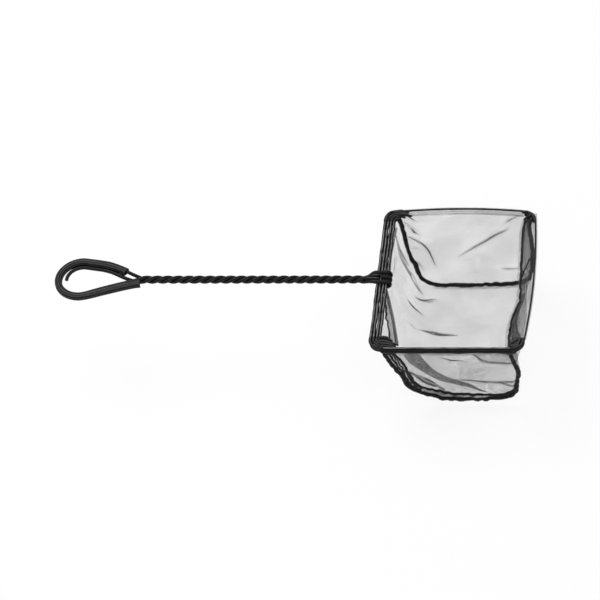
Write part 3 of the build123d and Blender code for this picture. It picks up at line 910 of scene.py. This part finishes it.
def make_flat_hem(name, stations):
    """Net folded over the wire: each station gives the foot, the wire's place and the way out of the rim."""
    rows = []
    for foot, wire, out in stations:
        foot = np.array(foot, float)
        wire = np.array(wire, float)
        inner = wire - HEM_LOOP_RADIUS * out
        outer = wire + HEM_LOOP_RADIUS * out
        section = [foot + (inner - foot) * t - HEM_SPREAD * out for t in np.linspace(0, 1, 9)]
        section += [wire - HEM_LOOP_RADIUS * out * math.cos(a) + HEM_LOOP_RADIUS * UP * math.sin(a)
                    for a in np.linspace(0.2, math.pi - 0.2, 7)]
        section += [outer + (foot - outer) * t + HEM_SPREAD * out for t in np.linspace(0, 1, 9)]
        rows.append(section)
    places = np.array(rows)
    depth = run_along(places[len(places) // 2])
    crown = places[:, places.shape[1] // 2]
    run = np.linspace(0, line_length(crown), len(places))
    flat = np.stack(np.meshgrid(depth, run), axis=-1)
    return finish_sheet(name, places, flat, np.zeros(places.shape[:2]))


far_stations = []
for x in np.linspace(*FAR_HEM_ENDS, 130):
    y = RIM_HALF_ACROSS + wire_bow(RIM_HALF_ALONG, FAR_BOW, x)
    foot = (x, y - FAR_HEM_INSET, -FAR_HEM_DEPTH)
    far_stations.append((foot, (x, y, 0), np.array((0.0, 1.0, 0.0))))
far_hem = make_flat_hem("far_net_hem", far_stations)
dress(far_hem, bag_net, "hem_net", "far_hem")

end_foot = smooth_line(end_foot_points, 150)
end_stations = []
for x, y, z in end_foot:
    wire_x = RIM_HALF_ALONG + wire_bow(RIM_HALF_ACROSS, END_BOW, y)
    end_stations.append(((x, y, z), (wire_x, y, 0), np.array((1.0, 0.0, 0.0))))
end_hem = make_flat_hem("end_net_hem", end_stations)
dress(end_hem, bag_net, "hem_net", "end_hem")
end_stitch = rope("end_hem_stitching", end_foot, radius=1.0, pitch=1.6, seed=2.2)
dress(end_stitch, seam_thread, "seam_tape")

# Net that hangs loose inside the end hem, bunched on the near side, with one crease across it
fold_edge = smooth_line([
    (62, -66.5, -6), (60.5, -58, -6.5), (57, -49, -7), (55.5, -38, -7.5), (57, -27, -7.5),
    (59.5, -15.5, -7.5), (60, -6, -7.5), (64.5, 3, -4.5), (65.3, 12, -4), (65, 26.5, -4), (63, 45, -4.5),
    (59, 71, -5), (58, 74, -5),
], 150)
end_fold = net_strip("end_hem_fold", end_foot, fold_edge, slot="hem_net")
near_part = slice(0, cut_along(end_foot, -8))
bunch_foot = evened(end_foot[near_part], 90)
bunch_edge = evened(fold_edge[near_part], 90)
bunch_layers = 3
bunch_rows = 0.6 + 0.5 * np.cos(2.1 * np.arange(bunch_layers * STRIP_COLUMNS))
bunch_gather = np.linspace(0.85, 0.2, 90) * bunch_rows[:, None]
end_bunch = net_strip("end_hem_bunch", bunch_foot, bunch_edge, layers=bunch_layers, drop=0.5,
                      gather=bunch_gather, slot="hem_net")
crease_line = smooth_line([(56.2, 8.8, -7), (59, 19, -6), (63.6, 31, -4.5)], 40)
end_crease = rope("end_hem_crease", crease_line, radius=0.6, pitch=1.6, seed=8.3)
dress(end_crease, gathered_net, "hem_net")
end_inside = end_foot + np.array((-3.0, 0, -0.4))
end_allowance = net_strip("end_seam_allowance", end_foot, end_inside)


# Rolled hems

def straight(start, end, count=None):
    """Evenly spaced places on a straight run, some of them or one at each step of a roll."""
    start = np.array(start, float)
    end = np.array(end, float)
    count = count or int(np.linalg.norm(end - start) / ROLL_STEP) + 2
    return start + (end - start) * np.linspace(0, 1, count)[:, None]


def make_handle_rolls(name, side, seed):
    """The four rolls on one half of the handle side."""
    rolls = []
    for index in range(HANDLE_ROLLS):
        x = -RIM_HALF_ALONG - HANDLE_ROLL_OUT + HANDLE_ROLL_PITCH * index
        run = straight((x, side * NECK_GAP, 0), (x, side * ROLL_STOP, 0))
        line = wander(run, amount=0.55, reach=9.0, seed=seed + index)
        rolls.append(roll(f"{name}_{index}", line, HANDLE_ROLL_RADIUS, seed + index))
    return joined(name, rolls)


for half, side, seed in (("far", 1, 0.3), ("near", -1, 4.1)):
    rolls = make_handle_rolls(f"handle_rolls_{half}_half", side, seed)
    dress(rolls, hem_roll, "hem_net", f"handle_hem_{half}_half")

near_rolls = []
for index, (y, z) in enumerate(NEAR_ROLLS):
    run = straight((RIM_CORNER - RIM_HALF_ALONG, y, z), (RIM_HALF_ALONG - RIM_CORNER, y, z))
    line = wander(run, amount=0.5, reach=9.0, seed=7.7 + index)
    near_rolls.append(roll(f"near_hem_roll_{index}", line, NEAR_ROLL_RADIUS, 2.9 + index))
near_top_roll, near_hem = near_rolls
dress(near_top_roll, hem_roll, "hem_net")
dress(near_hem, gathered_net, "hem_net", "near_hem")
near_edge = straight((-52, *NEAR_EDGE), (53, *NEAR_EDGE))
near_below = near_edge + np.array((0, 0.6, -5.4))
near_allowance = net_strip("near_hem_allowance", near_edge, near_below, gather=0.2)
near_fold_edge = straight((17, *NEAR_EDGE), (52.5, *NEAR_EDGE), 60)
near_fold_line = seam_places([(17, -6), (24, -11.5), (29, -19.5), (40.5, -21.5), (52.5, -22)], -1, 60, 0.3)
near_fold = net_strip("near_hem_fold", near_fold_edge, near_fold_line)

# The gusset's end gathers out of the near seam under the corner
corner_run = evened(near_outer[cut_at(near_outer, (56.5, -37)):][::-1], 50)
corner_out = corner_run + np.linspace(6.0, 1.0, 50)[:, None] * np.array((1.0, 0.2, 0))
end_corner_net = net_strip("end_corner_net", corner_run, corner_out, layers=2, drop=0.4, gather=0.3)


# Corner tacks

def corner_arc(corner_x, corner_y, radius, lift, start, end):
    """Part of a turn round a corner of the rim, about the corner's own centre."""
    angles = np.radians(np.linspace(start, end, TACK_PLACES))
    along = corner_x + radius * np.cos(angles)
    across = corner_y + radius * np.sin(angles)
    return np.stack([along, across, np.full(TACK_PLACES, lift)], axis=1)


def make_tack(name, end, side, rolls, foot, fingers, seed):
    """Net gathered round a corner of the rim: nested rolls, a gather down to the seam and loose fingers."""
    centre_x = (RIM_HALF_ALONG - RIM_CORNER) * (1 if end else -1)
    centre_y = (RIM_HALF_ACROSS - RIM_CORNER) * side
    middle = {(True, 1): 45, (False, 1): 135, (False, -1): 225, (True, -1): 315}[(end, side)]
    parts = []
    for index in range(rolls):
        radius = RIM_CORNER + HANDLE_ROLL_OUT - HANDLE_ROLL_PITCH * index
        turn = max(radius, TACK_LEAST_TURN)
        arc = corner_arc(centre_x, centre_y, turn, -TACK_DROP * index, middle - 45, middle + 45)
        lead = arc[:1] - TACK_LEAD * unit(arc[1] - arc[0])
        tail = arc[-1:] + TACK_LEAD * unit(arc[-1] - arc[-2])
        run = evened(np.vstack([lead, arc, tail]), 40)
        line = wander(run, amount=0.9, reach=5.0, seed=seed + index)
        parts.append(roll(f"{name}_{index}", line, TACK_ROLL_RADIUS, seed + index))
    under = corner_arc(centre_x, centre_y, RIM_CORNER, TACK_UNDER_LEVEL, middle - 45, middle + 45)
    under = wander(under, amount=0.4, reach=5.0, seed=seed + 9)
    parts.append(roll(f"{name}_under", under, TACK_UNDER_RADIUS, seed + 9))
    out = np.array((math.cos(math.radians(middle)), math.sin(math.radians(middle)), 0))
    top = np.array((centre_x, centre_y, -0.8)) + TACK_TOP * out
    gather = smooth_line([top, (top + foot) / 2 + np.array((0.5, 0, 0.6)), foot], 24)

    def pleated(run, turn):
        share = run / run.max()
        radius = TACK_GATHER_RADIUS - TACK_GATHER_TAPER * share
        return radius * (1 + 0.2 * np.sin(6 * turn + 5 * share + seed))

    parts.append(tube(f"{name}_gather", gather, pleated, sides=24))
    for number, points in enumerate(fingers):
        line = wander(smooth_line(points, 26), amount=0.4, reach=4.0, seed=seed + 5 + number)
        parts.append(roll(f"{name}_finger_{number}", line, FINGER_RADIUS, seed + 3 * number,
                          taper_in=1.5, taper_out=6.0))
    return joined(name, parts)


# Each tack: its node, which corner, how many rolls, the foot of its gather, its fingers and its seed
tacks = [
    ("handle_far_corner_tack", False, 1, 4, far_seam[0], [
        [(-63, 64.5, 0.5), (-61.8, 70.6, 0.9), (-57.8, 74.8, 0.8), (-50, 75.5, 0.4)],
        [(-57.5, 74.4, 0.9), (-52, 75, 0.5), (-45.5, 74.2, -0.4)],
        [(-58, 72, 0.6), (-50, 73, -0.2), (-41.5, 72.4, -1.4)],
        [(-57, 70, 0.4), (-52, 71.5, -0.6), (-47, 71, -2)],
        [(-56, 75.8, 0.2), (-50, 76.6, -0.4), (-44, 76.4, -1.4)],
    ], 0.7),
    ("handle_near_corner_tack", False, -1, 4, near_inner[0], [
        [(-57, -64, 0), (-51, -63.5, -0.6), (-45, -66.5, -1.5)],
        [(-56, -70.5, 0.4), (-49, -71, -0.2), (-42, -72.4, -1.2)],
        [(-56, -68, 0.2), (-49, -68.5, -0.6), (-40, -70.5, -1.5)],
        [(-55, -73, 0), (-48, -73, -1), (-40, -73.5, -2)],
        [(-52, -76, -2), (-48, -76, -4), (-44, -75, -8)],
    ], 2.6),
    ("end_far_corner_tack", True, 1, 1, far_seam[-1], [
        [(61.5, 72.5, -0.5), (58, 72, -1.5), (53.5, 69.5, -3)],
        [(62, 69, -0.5), (59.5, 66.5, -2), (58, 60, -5)],
    ], 4.4),
    ("end_near_corner_tack", True, -1, 2, near_inner[-1], [
        [(62, -73.5, -0.5), (56, -72, -1), (49, -73.5, -2)],
        [(62, -67, -1), (58, -68, -2), (53, -70, -3.5)],
        [(58, -76, -2), (54, -76.2, -4), (50, -75.5, -6.5)],
        [(60, -62, -2.5), (57, -65, -2.5), (53, -67, -3)],
    ], 6.2),
]
for name, end, side, rolls, foot, fingers, seed in tacks:
    tack = make_tack(f"gathered_{name}", end, side, rolls, foot, fingers, seed)
    dress(tack, gathered_net, "seam_tape", name)

# Net drawn up where the strands leave the hem
fork_lines = [
    [(-77, -0.6, 2), (-71, -0.4, 2), (-62, -1.2, 2.2)],
    [(-74, 1, 2), (-69, 2.2, 2), (-62, 3, 2.2)],
]
fork_rolls = []
for number, points in enumerate(fork_lines):
    line = smooth_line(points, 30)
    fork_rolls.append(roll(f"neck_gather_{number}", line, 1.5, 3.1 + number, taper_in=6.0, taper_out=2.0))
neck_gather = joined("neck_gather", fork_rolls)
dress(neck_gather, gathered_net, "hem_net")


# Grip sleeve over the hanging loop

def sleeve_route():
    """The sleeve's centre line, from the cut end of the lower arm round the tip to that of the upper arm."""
    turn = [(LOOP_CENTRE[0] + LOOP_RADIUS * math.cos(math.radians(a)),
             LOOP_CENTRE[1] + LOOP_RADIUS * math.sin(math.radians(a))) for a in range(-72, -290, -24)]
    lower_arm = [(65.5, -4.7), (59.9, -6.1), (47.8, -9.8), (35.7, -13.7)]
    upper_arm = [(29.2, 16.5), (38, 14.4), (47.4, 10.3), (53, 7.2)]
    route = lower_arm + turn + upper_arm
    return np.array([(x, y, LOOP_LEVEL) for x, y in route])


def make_sleeve():
    """A flattened vinyl tube with ridges along it and flared ends."""
    line = smooth_line(sleeve_route(), 220) - np.array((RIM_CENTRE_X, 0, 0))
    first = np.broadcast_to(UP, line.shape)
    second = np.cross(ways_along(line), first)
    turn = np.linspace(0, 2 * math.pi, SLEEVE_SIDES + 1)
    run = np.linspace(0, line_length(line), len(line))
    flare = np.exp(-run / 5.0) + 0.4 * np.exp(-(run[-1] - run) / 3.0)
    sections = smooth_line(SLEEVE_SECTIONS, 200)
    share = run / run[-1]
    line = line + second * np.interp(share, sections[:, 0], sections[:, 2])[:, None]
    half_wide = np.interp(share, sections[:, 0], sections[:, 1]) / 2 * (1 + SLEEVE_FLARE * flare)
    half_thick = SLEEVE_THICKNESS / 2 * (1 - SLEEVE_PINCH * flare)
    rise = np.sign(np.cos(turn)) * np.abs(np.cos(turn)) ** SLEEVE_SQUARENESS
    spread = np.sign(np.sin(turn)) * np.abs(np.sin(turn)) ** SLEEVE_SQUARENESS
    ridges = 1 + SLEEVE_RIDGE_HEIGHT * np.cos(SLEEVE_RIDGES * turn) + SLEEVE_DENTS * np.cos(3 * turn + 1)
    up = (half_thick[:, None] * rise * ridges)[..., None] * first[:, None]
    side = (half_wide[:, None] * spread * ridges)[..., None] * second[:, None]
    places = in_metres(line[:, None] + up + side)
    places[:, -1] = places[:, 0]
    flat = np.stack(np.meshgrid(np.linspace(0, 20, SLEEVE_SIDES + 1), run), axis=-1)
    piece = grid_piece("ridged_grip_sleeve", places, flat)
    # crest is highest on the ridge tops, where the sleeve's material paints highlight lines
    add_mask(piece, "crest", np.broadcast_to(np.cos(SLEEVE_RIDGES * turn), places.shape[:2]))
    close_seam(piece, False)
    apply_modifier(piece, "SOLIDIFY", thickness=SLEEVE_WALL * MM, offset=-1.0)
    pick(piece)
    bpy.ops.object.shade_smooth_by_angle(angle=math.radians(40))
    return piece


sleeve = make_sleeve()
dress(sleeve, sleeve_vinyl, "grip_vinyl", "grip_sleeve")

# CAD pieces that keep their shape
for node in ("strand_one", "strand_two", "strand_three", "loop_bow", "loop_tail"):
    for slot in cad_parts[node].material_slots:
        slot.material = wire_coat
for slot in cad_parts["rim_wire"].material_slots:
    slot.material = rim_lacquer


# Stage, light and camera

def make_floor():
    """A pale floor that stays white behind the net and keeps its soft shadow."""
    deselect()
    bpy.ops.mesh.primitive_plane_add(size=12, location=(RIM_CENTRE_X * MM, 0, FLOOR_LEVEL * MM))
    floor = bpy.context.active_object
    floor.name = "floor"
    material, tree, shader = new_material("pale floor")
    shader.inputs["Base Color"].default_value = (0.94, 0.94, 0.94, 1)
    shader.inputs["Roughness"].default_value = 0.9
    shader.inputs["Specular IOR Level"].default_value = 0.1
    glow = tree.nodes.new("ShaderNodeEmission")
    glow.inputs["Strength"].default_value = FLOOR_GLOW
    path = tree.nodes.new("ShaderNodeLightPath")
    seen = math_node(tree, "MAXIMUM", path.outputs["Is Camera Ray"], path.outputs["Is Glossy Ray"])
    seen = math_node(tree, "MAXIMUM", seen, path.outputs["Is Transmission Ray"])
    mix = tree.nodes.new("ShaderNodeMixShader")
    tree.links.new(math_node(tree, "MULTIPLY", seen, FLOOR_GLOW_SHARE), mix.inputs[0])
    tree.links.new(shader.outputs[0], mix.inputs[1])
    tree.links.new(glow.outputs[0], mix.inputs[2])
    tree.links.new(mix.outputs[0], tree.nodes["Material Output"].inputs["Surface"])
    floor.data.materials.append(material)


def make_world():
    """Even pale surroundings, white where the camera sees them."""
    world = bpy.data.worlds.new("pale room")
    bpy.context.scene.world = world
    world.use_nodes = True
    tree = world.node_tree
    back = tree.nodes["Background"]
    path = tree.nodes.new("ShaderNodeLightPath")
    seen = math_node(tree, "MAXIMUM", path.outputs["Is Camera Ray"], path.outputs["Is Transmission Ray"])
    back.inputs["Color"].default_value = (1, 1, 1, 1)
    light = math_node(tree, "MULTIPLY_ADD", seen, 1 - ROOM_LIGHT, ROOM_LIGHT)
    tree.links.new(light, back.inputs["Strength"])


def make_lamp(name, offset, size, power):
    """A soft square lamp aimed at the net."""
    aim = at(*LAMP_AIM)
    lamp = bpy.data.lights.new(name, "AREA")
    lamp.shape = "SQUARE"
    lamp.size = size
    lamp.energy = power
    holder = bpy.data.objects.new(name, lamp)
    bpy.context.scene.collection.objects.link(holder)
    holder.location = aim + Vector(offset)
    holder.rotation_euler = (-Vector(offset)).to_track_quat("-Z", "Y").to_euler()


def make_camera():
    """A long lens at the photograph's angle."""
    back = CAMERA_RIGHT.cross(CAMERA_UP).normalized()
    aim = at(0, 0, 0) + (FRAME_SHIFT_ALONG * CAMERA_RIGHT + FRAME_SHIFT_UP * CAMERA_UP) * MM
    lens = bpy.data.cameras.new("photo camera")
    lens.sensor_width = SENSOR_WIDTH
    lens.lens = SENSOR_WIDTH * CAMERA_DISTANCE / FIELD_WIDTH
    lens.clip_end = 50
    camera = bpy.data.objects.new("photo camera", lens)
    bpy.context.scene.collection.objects.link(camera)
    camera.location = aim + back * CAMERA_DISTANCE * MM
    camera.rotation_euler = Matrix((CAMERA_RIGHT, CAMERA_UP, back)).transposed().to_euler()
    bpy.context.scene.camera = camera


make_floor()
make_world()
make_lamp("key lamp", offset=(-0.5, 0.55, 1.2), size=0.9, power=9.0)
make_lamp("fill lamp", offset=(0.3, -1.1, 0.9), size=1.2, power=3.0)
make_camera()
bpy.context.scene.view_settings.view_transform = "Standard"
bpy.context.scene.cycles.transparent_max_bounces = 64
